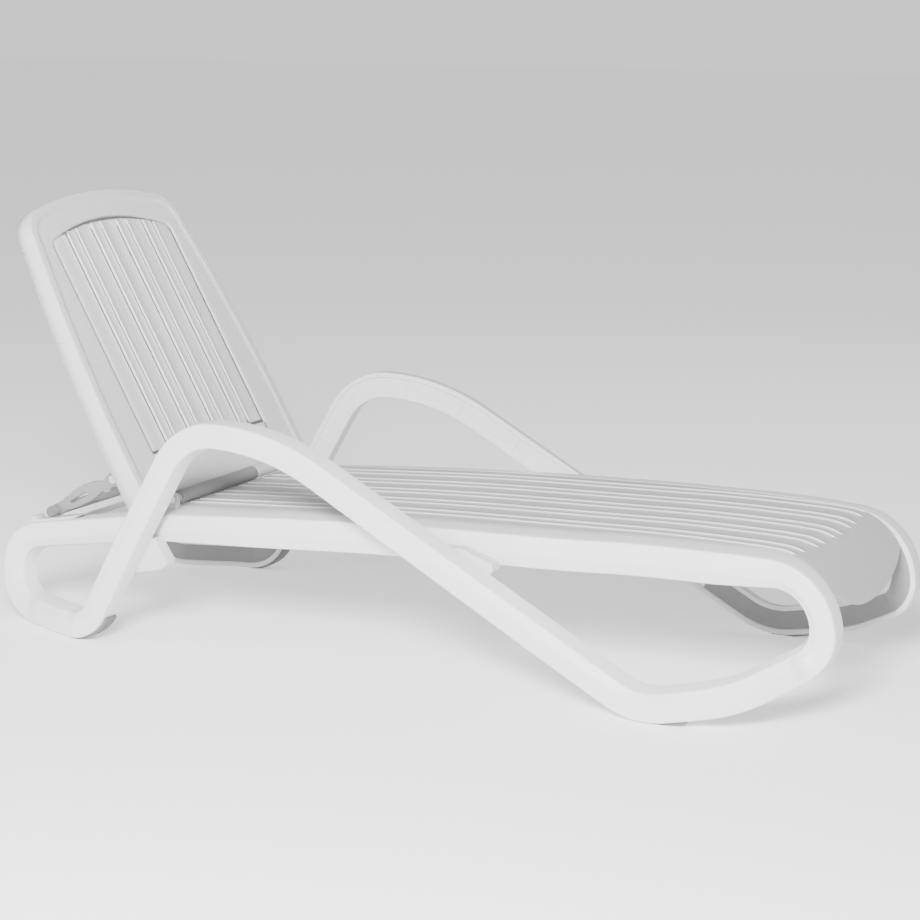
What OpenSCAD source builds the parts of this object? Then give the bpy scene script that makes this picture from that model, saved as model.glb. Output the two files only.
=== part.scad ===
// Reclining sun lounger with arms: two moulded ribbon side frames, a ribbed seat deck,
// a reclining back on two hinge pins, and a prop whose foot bar slides along two racks.
// Origin: on the floor, at the middle of the length and width. +X to the foot end, +Z up.

/* [Overall] */
// Length from head loop to foot loop
overall_length = 1896; // [1600:1:2300]
// Width over the outer faces of the arms
overall_width = 770; // [700:1:924]
// Height of the arm tops above the floor
arm_height = 503; // [470:1:600]

/* [Side frames] */
// Width of the ribbon, across the lounger
ribbon_width = 44; // [40:1:46]
// Wall of the ribbon's channel
ribbon_wall = 3.5; // [3:0.5:4.5]
// Depth of the ribbon at the legs and arms
leg_depth = 58; // [52:1:66]
// Free gap between the legs and the seat rail
leg_gap = 34; // [30:1:44]
// Depth of the seat rail
rail_depth = 74; // [68:1:78]

/* [Seat deck] */
// Thickness of the deck's skin
deck_skin = 5; // [4:0.5:6]
// Depth of the grooves in the deck and the back
groove_depth = 2.2; // [1:0.1:2.5]
// Width of the grooves
groove_width = 4; // [2:0.5:6]
// Width of the narrow ribs between grooves
rib_width = 37; // [28:1:44]

/* [Back] */
// Length of the back from its lower edge to its top
back_length = 712; // [600:1:860]
// Depth of the back's side flange at its lower end
back_flange = 50; // [38:1:50]
// Depth of the back's flange at its top
back_top_flange = 38; // [30:1:46]
// Thickness of the back's skin
back_skin = 4; // [3:0.5:4.5]

/* [Recline] */
// Angle of the raised back above level
back_angle = 60.5; // [58:0.5:63]
// Distance from the hinge to the prop's pins, and from the pins to the prop's foot
prop_length = 172; // [165:1:174]
// Angle between the prop's link line and the racks with the back raised
prop_start = 18; // [17:0.5:20]
// Radius of the foot bar
foot_bar_r = 12; // [10:0.5:13]
// Radius of the hinge pins and the prop pins
pin_r = 6; // [4:0.5:8]

/* [Fixings] */
// Radius of the screw shanks
screw_r = 2.5; // [2:0.25:3]
// Radial clearance of a turning pin
run_gap = 0.05; // [0.02:0.01:0.1]

/* [Hidden] */

white = [0.93, 0.93, 0.92];
dark = [0.16, 0.16, 0.17];
steel = [0.72, 0.73, 0.75];

stretch = (overall_length - 1896) / 2;
leg_y = (overall_width - ribbon_width) / 2;
rail_y = leg_y - leg_gap - ribbon_width;
loop_y = rail_y - 39;
head_y = rail_y - 21;
arm_z = arm_height - leg_depth / 2;
half_w = ribbon_width / 2;
loop_depth = 62;
head_depth = 64;
edge = 7;
arc_step = 9;
strip = 75;
arc_share = 0.15;

// corners of the ribbon's centreline: x, z, radius
corners = [
    [-553 - stretch, 247, 300], [19, 281, 9000], [601 + stretch, 294, 4500],
    [912 + stretch, 287, 105], [919 + stretch, 144, 70], [774 + stretch, 66, 340],
    [592 + stretch, 30, 145], [-217 - stretch, arm_z, 485], [-429 - stretch, arm_z, 145],
    [-683 - stretch, 34, 73], [-899 - stretch, 40, 82], [-936 - stretch, 176, 73]];
nc = len(corners);

// the ribbon's sideways place and depth along the path, by corner number
y_keys = [[-0.15, rail_y], [1.7, rail_y], [1.9, rail_y - 17], [2.2, rail_y - 21],
    [2.85, rail_y - 35], [3.3, loop_y], [3.7, loop_y], [4.0, loop_y + 5],
    [4.3, loop_y + 34], [4.85, leg_y - 26], [5.15, leg_y - 10], [5.5, leg_y],
    [9.25, leg_y], [9.8, leg_y - 60], [10.2, head_y], [11.3, head_y],
    [11.7, rail_y], [12, rail_y]];
d_keys = [[-0.15, 66], [0.15, 67], [0.6, rail_depth], [2.5, rail_depth], [3, loop_depth],
    [5, loop_depth], [5.5, leg_depth], [9.3, leg_depth], [10, 60], [10.9, 60],
    [11.15, head_depth], [11.85, 66], [12, 66]];

function dir_of(i) = let (p = corners[i % nc], q = corners[(i + 1) % nc])
    atan2(q[1] - p[1], q[0] - p[0]);
function wrap(a) = a > 180 ? a - 360 : a <= -180 ? a + 360 : a;
function turn_of(i) = wrap(dir_of(i) - dir_of(i + nc - 1));
function left(a) = [-sin(a), cos(a)];
function ahead(a) = [cos(a), sin(a)];
function corner_cut(i) = corners[i % nc][2] * tan(abs(turn_of(i)) / 2);
function flat2(p) = [p[0], p[1]];
function arc_from(i) = flat2(corners[i % nc]) - corner_cut(i) * ahead(dir_of(i + nc - 1));
function arc_to(i) = flat2(corners[i % nc]) + corner_cut(i) * ahead(dir_of(i));
function arc_pts(i) = let (a = dir_of(i + nc - 1), t = turn_of(i), r = corners[i][2],
    s = sign(t), c = arc_from(i) + r * s * left(a), n = max(2, ceil(abs(t) / arc_step)))
    [for (k = [0:n]) let (b = a + t * k / n, p = c - r * s * left(b))
        [p[0], p[1], b, i + arc_share * (2 * k / n - 1)]];
function line_pts(i) = let (p = arc_to(i), q = arc_from(i + 1), m = floor(norm(q - p) / strip) + 1)
    [for (j = [1:1:m - 1]) let (w = p + (q - p) * j / m)
        [w[0], w[1], dir_of(i), i + arc_share + (1 - 2 * arc_share) * j / m]];
// stations: x, z, heading, corner number
path = [for (i = [0:nc - 1]) each concat(arc_pts(i), line_pts(i))];
function y_at(s) = lookup(s[3], y_keys);
function d_at(s) = lookup(s[3], d_keys);
function off(s, o) = flat2(s) + o * left(s[2]);
function run(u0, u1, o) = [for (s = path) if (s[3] >= u0 && s[3] <= u1) off(s, o)];
function flip(v) = [for (i = [len(v) - 1:-1:0]) v[i]];
function rail_z(x) = lookup(x, [for (s = path) if (s[3] < 3) flat2(s)]);

// hinge, prop and rack geometry
hinge = [-535 - stretch, 302];
rack_a = dir_of(11);
edge_u = 14.7;
front_w = -15.8;
up = [-cos(back_angle), sin(back_angle)];
fore = [sin(back_angle), cos(back_angle)];
function bk(u, w) = hinge + u * up + w * fore;
prop_pin = hinge + prop_length * ahead(180 + rack_a - prop_start);
prop_foot = hinge + 2 * prop_length * cos(prop_start) * ahead(180 + rack_a);
prop_a = atan2(prop_foot[1] - prop_pin[1], prop_foot[0] - prop_pin[0]);
slide_gap = 0.3;

in_y = rail_y - half_w;
out_y = rail_y + half_w;
leg_in = leg_y - half_w;
head_in = head_y - half_w;
bite = 8;
lug_t = 8;
ear_y = in_y - lug_t - 1.5;
back_half = out_y + leg_gap - 8;
bar_w = 44;
bar_drop = 4;
bar_h = 30;
bars = [-496 - stretch, -60, 340 + stretch];
bar_block = 14;
arm_in = head_in - 15;
arm_t = 10;
head_bar = [-838 - stretch, 197];

module plate(pts, y0, y1) {
    translate([0, y1, 0]) rotate([90, 0, 0]) linear_extrude(y1 - y0) polygon(pts);
}
module rod(p, r, y0, y1) {
    translate([p[0], y1, p[1]]) rotate([90, 0, 0]) cylinder(r = r, h = y1 - y0, $fn = 48);
}
module box(x0, x1, y0, y1, z0, z1) {
    translate([x0, y0, z0]) cube([x1 - x0, y1 - y0, z1 - z0]);
}
module right() {
    mirror([0, 1, 0]) children();
}
module both() {
    children();
    right() children();
}
// places a piece drawn lying flat: x along the back from the hinge, z out of its front
module on_back() {
    translate([hinge[0], 0, hinge[1]]) rotate([0, back_angle, 0]) rotate([0, 0, 180])
        children();
}

// one outline of the ribbon's box section: h half its depth, w half its width
function section(h, w) = [[h, -w], [h, w - edge], [h - edge, w], [edge - h, w],
    [-h, w - edge], [-h, -w]];

module sweep(wall) {
    ns = 6;
    np = len(path);
    pts = [for (s = path) each [for (q = section(d_at(s) / 2 - wall, half_w - wall))
        let (p = off(s, q[0])) [p[0], y_at(s) + q[1], p[1]]]];
    faces = [for (i = [0:np - 1]) each [for (j = [0:ns - 1])
        let (a = i * ns + j, b = i * ns + (j + 1) % ns,
             c = ((i + 1) % np) * ns + (j + 1) % ns, e = ((i + 1) % np) * ns + j)
        each [[a, b, c], [a, c, e]]]];
    polyhedron(points = pts, faces = faces);
}
module ribbon() {
    difference() {
        sweep(0);
        sweep(ribbon_wall);
        frame_holes();
    }
}

lug_screws = [[hinge[0], 232], [hinge[0], 264]];
function bar_top(x) = rail_z(x) - bar_drop;
function bar_mid(x) = [x, bar_top(x) - bar_h / 2];
rear_cross = [-568.5 - stretch, 226.5];
front_cross = [corners[7][0] + (arm_z - 262) * (corners[6][0] - corners[7][0])
    / (arm_z - corners[6][1]), 262];

module frame_holes() {
    for (x = bars) rod(bar_mid(x), screw_r, in_y - 1, in_y + bite);
    for (p = lug_screws) rod(p, screw_r, in_y - 1, in_y + bite);
    rod(head_bar, screw_r, head_in - 1, head_in + bite);
    rod(rear_cross, screw_r, leg_in - 1, leg_in + bite);
    rod(front_cross, screw_r, leg_in - 1, leg_in + bite);
}
module left_side_frame() {
    color(white) ribbon();
}
module right_side_frame() {
    color(white) right() ribbon();
}

// deck surface above the rail's centreline, by corner number
deck_keys = [[2.6, rail_depth / 2 + 2], [2.85, rail_depth / 2], [3, 26], [3.15, 13]];
deck_end = 3.16;
function deck_run(o) = [for (s = path) if (s[3] <= deck_end) off(s, lookup(s[3], deck_keys) + o)];
function low_run(o) = [for (s = path) if (s[3] <= deck_end) off(s, o)];
deck_x = hinge[0] - 6;
deck_side = [for (s = path) if (s[3] < 2.9) [s[0], y_at(s) - half_w - 0.5]];
deck_far = 980 + stretch;
deck_low = 6;
drop_r = 420;
drop_z = 200;
deck_ribs = [for (k = [-2:2]) k * (rib_width + 60)];

module deck_plan(inset) {
    e = [for (p = deck_side) [p[0], p[1] - inset]];
    f = [deck_far, loop_y - half_w - 1 - inset];
    g = [for (p = flip(e)) [p[0], -p[1]]];
    linear_extrude(600) polygon(concat(e, [f, [f[0], -f[1]]], g));
}
module seat_deck() {
    color(white) difference() {
        union() {
            difference() {
                intersection() {
                    plate(concat(deck_run(0), flip(low_run(-deck_low))), -500, 500);
                    deck_plan(0);
                }
                intersection() {
                    plate(concat(deck_run(-deck_skin), flip(low_run(-deck_low - 1))), -500, 500);
                    deck_plan(ribbon_wall);
                }
            }
            for (x = bars) for (y = [-150, 150]) {
                top = rail_z(x) + rail_depth / 2 - 1;
                translate([x, y, bar_top(x)]) cylinder(r = 8, h = top - bar_top(x), $fn = 32);
            }
        }
        box(-700 - stretch, deck_x, -400, 400, 100, 400);
        for (y = deck_ribs) for (s = [-1, 1]) {
            c = y + s * rib_width / 2;
            plate(concat([for (p = path) if (p[3] < 2.95) off(p, lookup(p[3], deck_keys) + 2)],
                flip([for (p = path) if (p[3] < 2.95)
                    off(p, lookup(p[3], deck_keys) - groove_depth)])),
                c - groove_width / 2, c + groove_width / 2);
        }
        for (x = bars) {
            box(x - bar_w / 2 - 0.5, x + bar_w / 2 + 0.5, -400, -158, 200, bar_top(x));
            box(x - bar_w / 2 - 0.5, x + bar_w / 2 + 0.5, 158, 400, 200, bar_top(x));
            for (y = [-150, 150]) translate([x, y, bar_top(x) - 1])
                cylinder(r = screw_r, h = 15, $fn = 32);
        }
        both() box(-700 - stretch, hinge[0] + 60, ear_y - 9, 400, 100, 400);
        translate([840 + stretch, 0, 0]) rotate([90, 0, 90]) linear_extrude(200) difference() {
            translate([-400, 100]) square([800, 190]);
            translate([0, drop_z + drop_r]) circle(r = drop_r, $fn = 180);
        }
    }
}

module cross_member(x) {
    z = bar_top(x);
    a = x - bar_w / 2;
    b = x + bar_w / 2;
    difference() {
        box(a, b, -in_y, in_y, z - bar_h, z);
        box(a + 4, b - 4, bar_block - in_y, in_y - bar_block, z - bar_h - 1, z - 4);
        both() rod(bar_mid(x), screw_r, in_y - bar_block - 1, in_y + 1);
        for (y = [-150, 150]) translate([x, y, z - 5]) cylinder(r = screw_r, h = 6, $fn = 32);
    }
}
module hinge_cross_member() {
    color(white) cross_member(bars[0]);
}
module middle_cross_member() {
    color(white) cross_member(bars[1]);
}
module foot_cross_member() {
    color(white) cross_member(bars[2]);
}
module head_cross_member() {
    x = head_bar[0];
    z = head_bar[1];
    y = head_in;
    color(white) difference() {
        box(x - 19, x + 19, -y, y, z - 18, z + 18);
        box(x - 15, x + 15, bar_block - y, y - bar_block, z - 19, z + 14);
        both() rod(head_bar, screw_r, y - bar_block - 1, y + 1);
    }
}

// plate on the rail's inner wall that carries the hinge pin
module lug() {
    x = hinge[0];
    difference() {
        union() {
            plate([[x - 14, 218], [x + 14, 218], [x + 14, 302], [x - 14, 302]],
                in_y - lug_t, in_y);
            rod(hinge, 14, in_y - lug_t, in_y);
        }
        rod(hinge, pin_r, in_y - lug_t - 1, in_y + 1);
        for (p = lug_screws) {
            rod(p, screw_r, in_y - lug_t - 1, in_y + 1);
            rod(p, screw_r + 3, in_y - lug_t - 1, in_y - lug_t + 3.5);
        }
    }
}
module left_hinge_lug() {
    color(white) lug();
}
module right_hinge_lug() {
    color(white) right() lug();
}
module hinge_pins() {
    color(steel) both() {
        rod(hinge, pin_r, ear_y - lug_t - 3, in_y);
        rod(hinge, pin_r + 3.5, in_y, in_y + 3);
    }
}
module hinge_pin_caps() {
    color(white) both() rod(hinge, pin_r + 3.5, ear_y - lug_t - 6, ear_y - lug_t - 3);
}

// slide strip on the head loop's top run, with the stop the foot bar rests against
rack_out = head_y + half_w - edge;
rack_in = head_in + 2;
rack_top = foot_bar_r + slide_gap;
function rack_pt(t, w) = hinge + t * ahead(180 + rack_a) + w * ahead(rack_a + 90);
module rack() {
    stop = 2 * prop_length + foot_bar_r + 1;
    seat = [for (s = path) if (s[3] >= 11.06 && s[3] <= 11.4) off(s, d_at(s) / 2)];
    plate(concat(seat, [rack_pt(232, -rack_top), rack_pt(stop, -rack_top),
        rack_pt(stop + 2, -3), rack_pt(stop + 12, -3)]), rack_in, rack_out);
}
module left_rack() {
    color(white) rack();
}
module right_rack() {
    color(white) right() rack();
}

// blocks that join the rail to the legs where they cross
module rear_bracket() {
    x = -stretch;
    h = 232;
    difference() {
        union() {
            plate([[x - 587, 160], [x - 576, 153], [x - 519, 165], [x - 504, 175],
                [x - 501, 184], [x - 531, h], [x - 560, h]], out_y, leg_in);
        }
        rod(rear_cross, screw_r, out_y + 14, leg_in + 1);
        rod(rear_cross, screw_r + 3, out_y - 1, out_y + 15);
    }
}
module left_rear_leg_bracket() {
    color(white) rear_bracket();
}
module right_rear_leg_bracket() {
    color(white) right() rear_bracket();
}
module front_bracket() {
    c = front_cross;
    difference() {
        union() {
            plate([[c[0] - 40, c[1] + 26], [c[0] + 10, c[1] - 14], [c[0] + 90, c[1] - 20],
                [c[0] + 98, c[1] - 12], [c[0] + 96, c[1] + 2], [c[0] + 30, c[1] + 26]],
                out_y, leg_in);
        }
        rod(c, screw_r, out_y + 14, leg_in + 1);
        rod(c, screw_r + 3, out_y - 1, out_y + 15);
    }
}
module left_front_leg_bracket() {
    color(white) front_bracket();
}
module right_front_leg_bracket() {
    color(white) right() front_bracket();
}

// dark pads; flat on the floor, shaped to the ribbon's underside
front_pad_t = 12;
rear_pad_t = 8.5;
module pad(u0, u1, t) {
    outer = [for (p = run(u0, u1, leg_depth / 2 + t)) [p[0], max(p[1], 0)]];
    plate(concat(run(u0, u1, leg_depth / 2), flip(outer)), leg_in + 2, leg_y + half_w - edge);
}
module left_front_pad() {
    color(dark) pad(5.5, 6.01, front_pad_t);
}
module right_front_pad() {
    color(dark) right() pad(5.5, 6.01, front_pad_t);
}
module left_rear_pad() {
    color(dark) pad(8.8, 9.155, rear_pad_t);
}
module right_rear_pad() {
    color(dark) right() pad(8.8, 9.155, rear_pad_t);
}

module screw_y(p, y0, y1, head) {
    rod(p, screw_r, y0, y1);
    rod(p, head, y0 - 3, y0);
}
module frame_screws() {
    color(steel) both() {
        for (x = bars) screw_y(bar_mid(x), in_y - bar_block, in_y + bite, 5);
        screw_y(head_bar, head_in - bar_block, head_in + bite, 5);
        for (p = lug_screws) screw_y(p, in_y - lug_t + 3.5, in_y + bite, 5);
    }
}
module deck_screws() {
    color(steel) for (x = bars) for (y = [-150, 150]) translate([x, y, bar_top(x) - 4]) {
        cylinder(r = screw_r, h = 17, $fn = 32);
        translate([0, 0, -3]) cylinder(r = 5, h = 3, $fn = 32);
    }
}
module leg_screws() {
    color(steel) both() {
        screw_y(rear_cross, out_y + 15, leg_in + bite, 5);
        screw_y(front_cross, out_y + 15, leg_in + bite, 5);
    }
}

// half width of the back at a distance up from its lower edge
back_keys = [[0, back_half], [153, back_half], [217, back_half - 1], [301, back_half - 7],
    [444, back_half - 19], [572, back_half - 40], [back_length - 72, back_half - 52]];
top_r = 1000;
corner_r = 60;
corner_y = back_half - 112;
corner_u = back_length - 25 - corner_r;
field = back_half - 107;
function back_side() = concat(
    [for (k = back_keys) if (k[0] <= corner_u) [edge_u + k[0], k[1]]],
    [for (a = [-6:12:78]) [edge_u + corner_u + corner_r * sin(a), corner_y + corner_r * cos(a)]],
    [for (y = [corner_y - 40:-61:0]) [edge_u + back_length - y * y / (2 * top_r), y]]);
function back_outline() = concat(back_side(), [for (p = flip(back_side())) [p[0], -p[1]]]);
base_u = 34;
base_n = 96;
base_t = 8;

module back_body() {
    depth = back_flange;
    low = edge_u - 1;
    difference() {
        translate([0, 0, front_w - depth]) linear_extrude(depth) polygon(back_outline());
        translate([0, 0, front_w - depth - 1]) linear_extrude(depth + 1 - back_skin)
            offset(delta = -4.5) polygon(back_outline());
        both() box(low, edge_u + 5, in_y - 8, out_y + 4, front_w - depth - 1, front_w - back_skin);
        translate([edge_u + back_length, 0, front_w - back_top_flange])
            rotate([0, atan((back_flange - back_top_flange) / back_length), 0])
            translate([-2 * back_length, -500, -200]) cube([4 * back_length, 1000, 200]);
    }
    for (y = [-145.5, -48.5, 48.5, 145.5])
        box(edge_u + 3, edge_u + back_length - 90, y - 2, y + 2, front_w - back_skin - 8,
            front_w - back_skin + 1);
    both() box(edge_u + base_u, edge_u + base_u + base_n, arm_in - 24, arm_in + 2,
        front_w - back_skin - base_t, front_w - back_skin + 1);
}
module ear() {
    h = [hinge[0], hinge[1]];
    plate([h + 14 * ahead(150), h + 14 * ahead(190), bk(edge_u - 1, front_w - 16),
        bk(edge_u + 46, front_w - 34), bk(edge_u + 60, front_w - 2), bk(edge_u + 2, front_w - 1),
        h + 14 * ahead(70), h + 14 * ahead(110)], ear_y - lug_t, ear_y);
    rod(hinge, 14, ear_y - lug_t, ear_y);
}
module back_panel() {
    color(white) difference() {
        union() {
            on_back() back_body();
            both() ear();
        }
        both() rod(hinge, pin_r + run_gap, ear_y - lug_t - 1, ear_y + 1);
        on_back() for (y = [-145.5, -48.5, 48.5, 145.5]) for (s = [-1, 1]) {
            c = y + s * rib_width / 2;
            far = edge_u + back_length - 68 - c * c / 1550;
            box(edge_u + 24, far, c - groove_width / 2, c + groove_width / 2,
                front_w - groove_depth, front_w + 1);
        }
        on_back() for (y = [-field, field])
            box(edge_u + 24, edge_u + back_length - 100, y - 2, y + 2,
                front_w - groove_depth, front_w + 1);
        on_back() for (s = [-1, 1]) for (u = [16, 80]) translate([edge_u + base_u + u,
            s * (arm_in - 16), front_w - back_skin - base_t - 1]) cylinder(r = screw_r, h = 9, $fn = 32);
    }
}
// foot on the back's rear pad, and a web that reaches back to the prop's pin
module prop_bracket() {
    base = front_w - back_skin - base_t;
    y1 = arm_in - 1;
    difference() {
        union() {
            plate([bk(edge_u + base_u, base), bk(edge_u + base_u + base_n, base),
                bk(edge_u + base_u + base_n, base - 5), bk(edge_u + base_u, base - 5)],
                y1 - 23, y1);
            plate([bk(edge_u + base_u, base - 4), bk(edge_u + base_u + base_n, base - 4),
                bk(edge_u + base_u + base_n - 18, base - 34),
                prop_pin + 16 * ahead(60), prop_pin + 16 * ahead(100),
                prop_pin + 16 * ahead(190), prop_pin + 16 * ahead(240)], y1 - 8, y1);
            rod(prop_pin, 16, y1 - 8, y1);
        }
        rod(prop_pin, pin_r, y1 - 9, y1 + 1);
        on_back() for (u = [16, 80]) translate([edge_u + base_u + u, 16 - arm_in,
            base - 7]) cylinder(r = screw_r, h = 8, $fn = 32);
    }
}
module left_prop_bracket() {
    color(white) prop_bracket();
}
module right_prop_bracket() {
    color(white) right() prop_bracket();
}
module back_screws() {
    base = front_w - back_skin - base_t - 5;
    color(steel) on_back() for (s = [-1, 1]) for (u = [16, 80])
        translate([edge_u + base_u + u, s * (arm_in - 16), base]) {
            cylinder(r = screw_r, h = 12, $fn = 32);
            translate([0, 0, -3]) cylinder(r = 5, h = 3, $fn = 32);
        }
}
module prop_pins() {
    color(steel) both() {
        rod(prop_pin, pin_r, arm_in - 9, arm_in + arm_t + 1);
        rod(prop_pin, pin_r + 3.5, arm_in - 12, arm_in - 9);
    }
}
module prop_pin_caps() {
    color(white) both() rod(prop_pin, pin_r + 3.5, arm_in + arm_t + 1, arm_in + arm_t + 4);
}

module prop_arm() {
    w = ahead(prop_a + 90);
    d = ahead(prop_a);
    difference() {
        union() {
            rod(prop_pin, 18, arm_in, arm_in + arm_t);
            rod(prop_foot, 18, arm_in, arm_in + arm_t);
            plate([prop_pin + 18 * w, prop_pin + 50 * d + 13 * w, prop_foot - 40 * d + 13 * w,
                prop_foot + 18 * w, prop_foot - 18 * w, prop_foot - 40 * d - 13 * w,
                prop_pin + 50 * d - 13 * w, prop_pin - 18 * w], arm_in, arm_in + arm_t);
        }
        rod(prop_pin, pin_r + run_gap, arm_in - 1, arm_in + arm_t + 1);
        rod(prop_foot, foot_bar_r, arm_in - 1, arm_in + arm_t + 1);
    }
}
module left_prop_arm() {
    color(white) prop_arm();
}
module right_prop_arm() {
    color(white) right() prop_arm();
}
bar_end = head_y - 4;
module prop_foot_bar() {
    color(white) difference() {
        rod(prop_foot, foot_bar_r, -bar_end, bar_end);
        rod(prop_foot, foot_bar_r - 3, -bar_end - 1, bar_end + 1);
    }
}
module foot_bar_caps() {
    color(dark) both() {
        rod(prop_foot, foot_bar_r - 0.4, bar_end, bar_end + 3);
        rod(prop_foot, foot_bar_r - 3, bar_end - 12, bar_end);
    }
}

left_side_frame();
right_side_frame();
seat_deck();
hinge_cross_member();
middle_cross_member();
foot_cross_member();
head_cross_member();
left_hinge_lug();
right_hinge_lug();
hinge_pins();
hinge_pin_caps();
left_rack();
right_rack();
left_rear_leg_bracket();
right_rear_leg_bracket();
left_front_leg_bracket();
right_front_leg_bracket();
left_front_pad();
right_front_pad();
left_rear_pad();
right_rear_pad();
frame_screws();
deck_screws();
leg_screws();
back_panel();
left_prop_bracket();
right_prop_bracket();
prop_pins();
prop_pin_caps();
back_screws();
left_prop_arm();
right_prop_arm();
prop_foot_bar();
foot_bar_caps();
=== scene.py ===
import math

import bmesh
import bpy
from mathutils import Matrix, Vector


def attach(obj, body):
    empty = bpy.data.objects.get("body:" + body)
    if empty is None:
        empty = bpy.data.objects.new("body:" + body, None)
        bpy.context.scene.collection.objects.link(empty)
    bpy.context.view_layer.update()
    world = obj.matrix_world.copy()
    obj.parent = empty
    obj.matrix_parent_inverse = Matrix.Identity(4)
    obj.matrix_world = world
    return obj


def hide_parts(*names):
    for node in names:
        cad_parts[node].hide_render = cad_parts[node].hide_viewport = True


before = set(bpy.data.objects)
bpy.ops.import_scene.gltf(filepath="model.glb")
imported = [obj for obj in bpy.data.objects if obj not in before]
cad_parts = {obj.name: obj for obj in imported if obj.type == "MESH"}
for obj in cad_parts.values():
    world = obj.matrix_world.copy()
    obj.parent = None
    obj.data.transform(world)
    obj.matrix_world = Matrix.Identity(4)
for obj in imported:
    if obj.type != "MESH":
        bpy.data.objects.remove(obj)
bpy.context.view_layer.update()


# ---------------------------------------------------------------------------
# Side frames. One moulded polypropylene ribbon each side, bent on edge into the
# foot loop, front leg, arm, rear leg and head loop: a closed box, sunk on its inside.
# The rail carries the deck; cross-members are screwed between the two frames.

RIBBON_W = 0.044
OUT_GROWTH = 0.005
LEG_Y = 0.363
RAIL_Y = 0.285
LOOP_Y = 0.246
HEAD_Y = 0.264

CORNERS = [
    (-0.553, 0.247, 0.300), (0.019, 0.281, 9.0), (0.601, 0.294, 4.5),
    (0.912, 0.287, 0.105), (0.919, 0.144, 0.070), (0.774, 0.066, 0.340),
    (0.592, 0.030, 0.145), (-0.217, 0.474, 0.485), (-0.429, 0.474, 0.145),
    (-0.683, 0.034, 0.073), (-0.922, 0.040, 0.082), (-0.959, 0.176, 0.073)]
ARC_SHARE = 0.15
Y_KEYS = [(-0.15, RAIL_Y), (1.7, RAIL_Y), (1.9, 0.268), (2.2, 0.264), (2.85, 0.250),
          (3.3, LOOP_Y), (3.7, LOOP_Y), (4.0, 0.251), (4.3, 0.280), (4.85, 0.337),
          (5.15, 0.353), (5.5, LEG_Y), (9.25, LEG_Y), (9.8, 0.303), (10.2, HEAD_Y),
          (11.3, HEAD_Y), (11.7, RAIL_Y), (12.0, RAIL_Y)]
DEPTH_KEYS = [(-0.15, 0.066), (0.15, 0.067), (0.6, 0.074), (2.5, 0.074), (3.0, 0.062),
              (5.0, 0.062), (5.5, 0.058), (9.3, 0.058), (10.0, 0.060), (10.9, 0.060),
              (11.15, 0.064), (11.85, 0.066), (12.0, 0.066)]


def read_keys(keys, u):
    if u <= keys[0][0]:
        return keys[0][1]
    for (a, p), (b, q) in zip(keys, keys[1:]):
        if u <= b:
            return p + (q - p) * (u - a) / (b - a)
    return keys[-1][1]


def heading(i):
    p, q = CORNERS[i % 12], CORNERS[(i + 1) % 12]
    return math.atan2(q[1] - p[1], q[0] - p[0])


def bend(i):
    turn = heading(i) - heading(i - 1)
    return (turn + math.pi) % (2 * math.pi) - math.pi


def ribbon_stations(arc_step=math.radians(3), strip=0.012):
    """Closed centreline of a side frame as (x, z, heading, place by corner number)."""
    out = []
    for i in range(12):
        x, z, r = CORNERS[i]
        a, t = heading(i - 1), bend(i)
        cut = r * math.tan(abs(t) / 2)
        s = math.copysign(1, t)
        p = Vector((x - cut * math.cos(a), z - cut * math.sin(a)))
        c = p + r * s * Vector((-math.sin(a), math.cos(a)))
        n = max(6, math.ceil(abs(t) / arc_step))
        for k in range(n + 1):
            b = a + t * k / n
            q = c - r * s * Vector((-math.sin(b), math.cos(b)))
            out.append((q.x, q.y, b, i + ARC_SHARE * (2 * k / n - 1)))
        x2, z2, r2 = CORNERS[(i + 1) % 12]
        cut2 = r2 * math.tan(abs(bend(i + 1)) / 2)
        b = heading(i)
        start = Vector((x + cut * math.cos(b), z + cut * math.sin(b)))
        end = Vector((x2 - cut2 * math.cos(b), z2 - cut2 * math.sin(b)))
        m = int((end - start).length / strip) + 1
        for j in range(1, m):
            w = start.lerp(end, j / m)
            out.append((w.x, w.y, b, i + ARC_SHARE + (1 - 2 * ARC_SHARE) * j / m))
    return out


def smoothed(values, rounds):
    """Values round the closed path, with their kinks averaged away."""
    for _ in range(rounds):
        n = len(values)
        values = [(values[i - 1] + 2 * values[i] + values[(i + 1) % n]) / 4 for i in range(n)]
    return values


path = ribbon_stations()
path_y = smoothed([read_keys(Y_KEYS, s[3]) for s in path], 40)
path_d = smoothed([read_keys(DEPTH_KEYS, s[3]) for s in path], 30)


# Draft of the two flanks, growth of the left-hand flank, all by corner number.
LEFT_DRAFT = [(0.0, 0.004), (2.0, 0.003), (3.0, 0.0012), (7.0, 0.0012), (7.6, 0.0055), (8.4, 0.0055),
              (9.0, 0.0012), (11.0, 0.0012), (12.0, 0.004)]
RIGHT_DRAFT = [(0.0, 0.004), (2.0, 0.005), (3.0, 0.0085), (6.8, 0.0085), (7.4, 0.0012), (8.6, 0.0012),
               (9.2, 0.0085), (11.0, 0.0085), (12.0, 0.004)]
LEFT_GROWTH = [(0.0, 0.0), (3.0, 0.0), (4.0, 0.004), (4.9, 0.0075), (6.3, 0.0075), (7.0, 0.0015),
               (8.6, 0.0), (9.0, 0.0045), (10.0, 0.0045), (10.8, 0.0), (12.0, 0.0)]
path_left = smoothed([read_keys(LEFT_DRAFT, s[3]) for s in path], 30)
path_right = smoothed([read_keys(RIGHT_DRAFT, s[3]) for s in path], 30)
path_grow = smoothed([read_keys(LEFT_GROWTH, s[3]) for s in path], 30)


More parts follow.
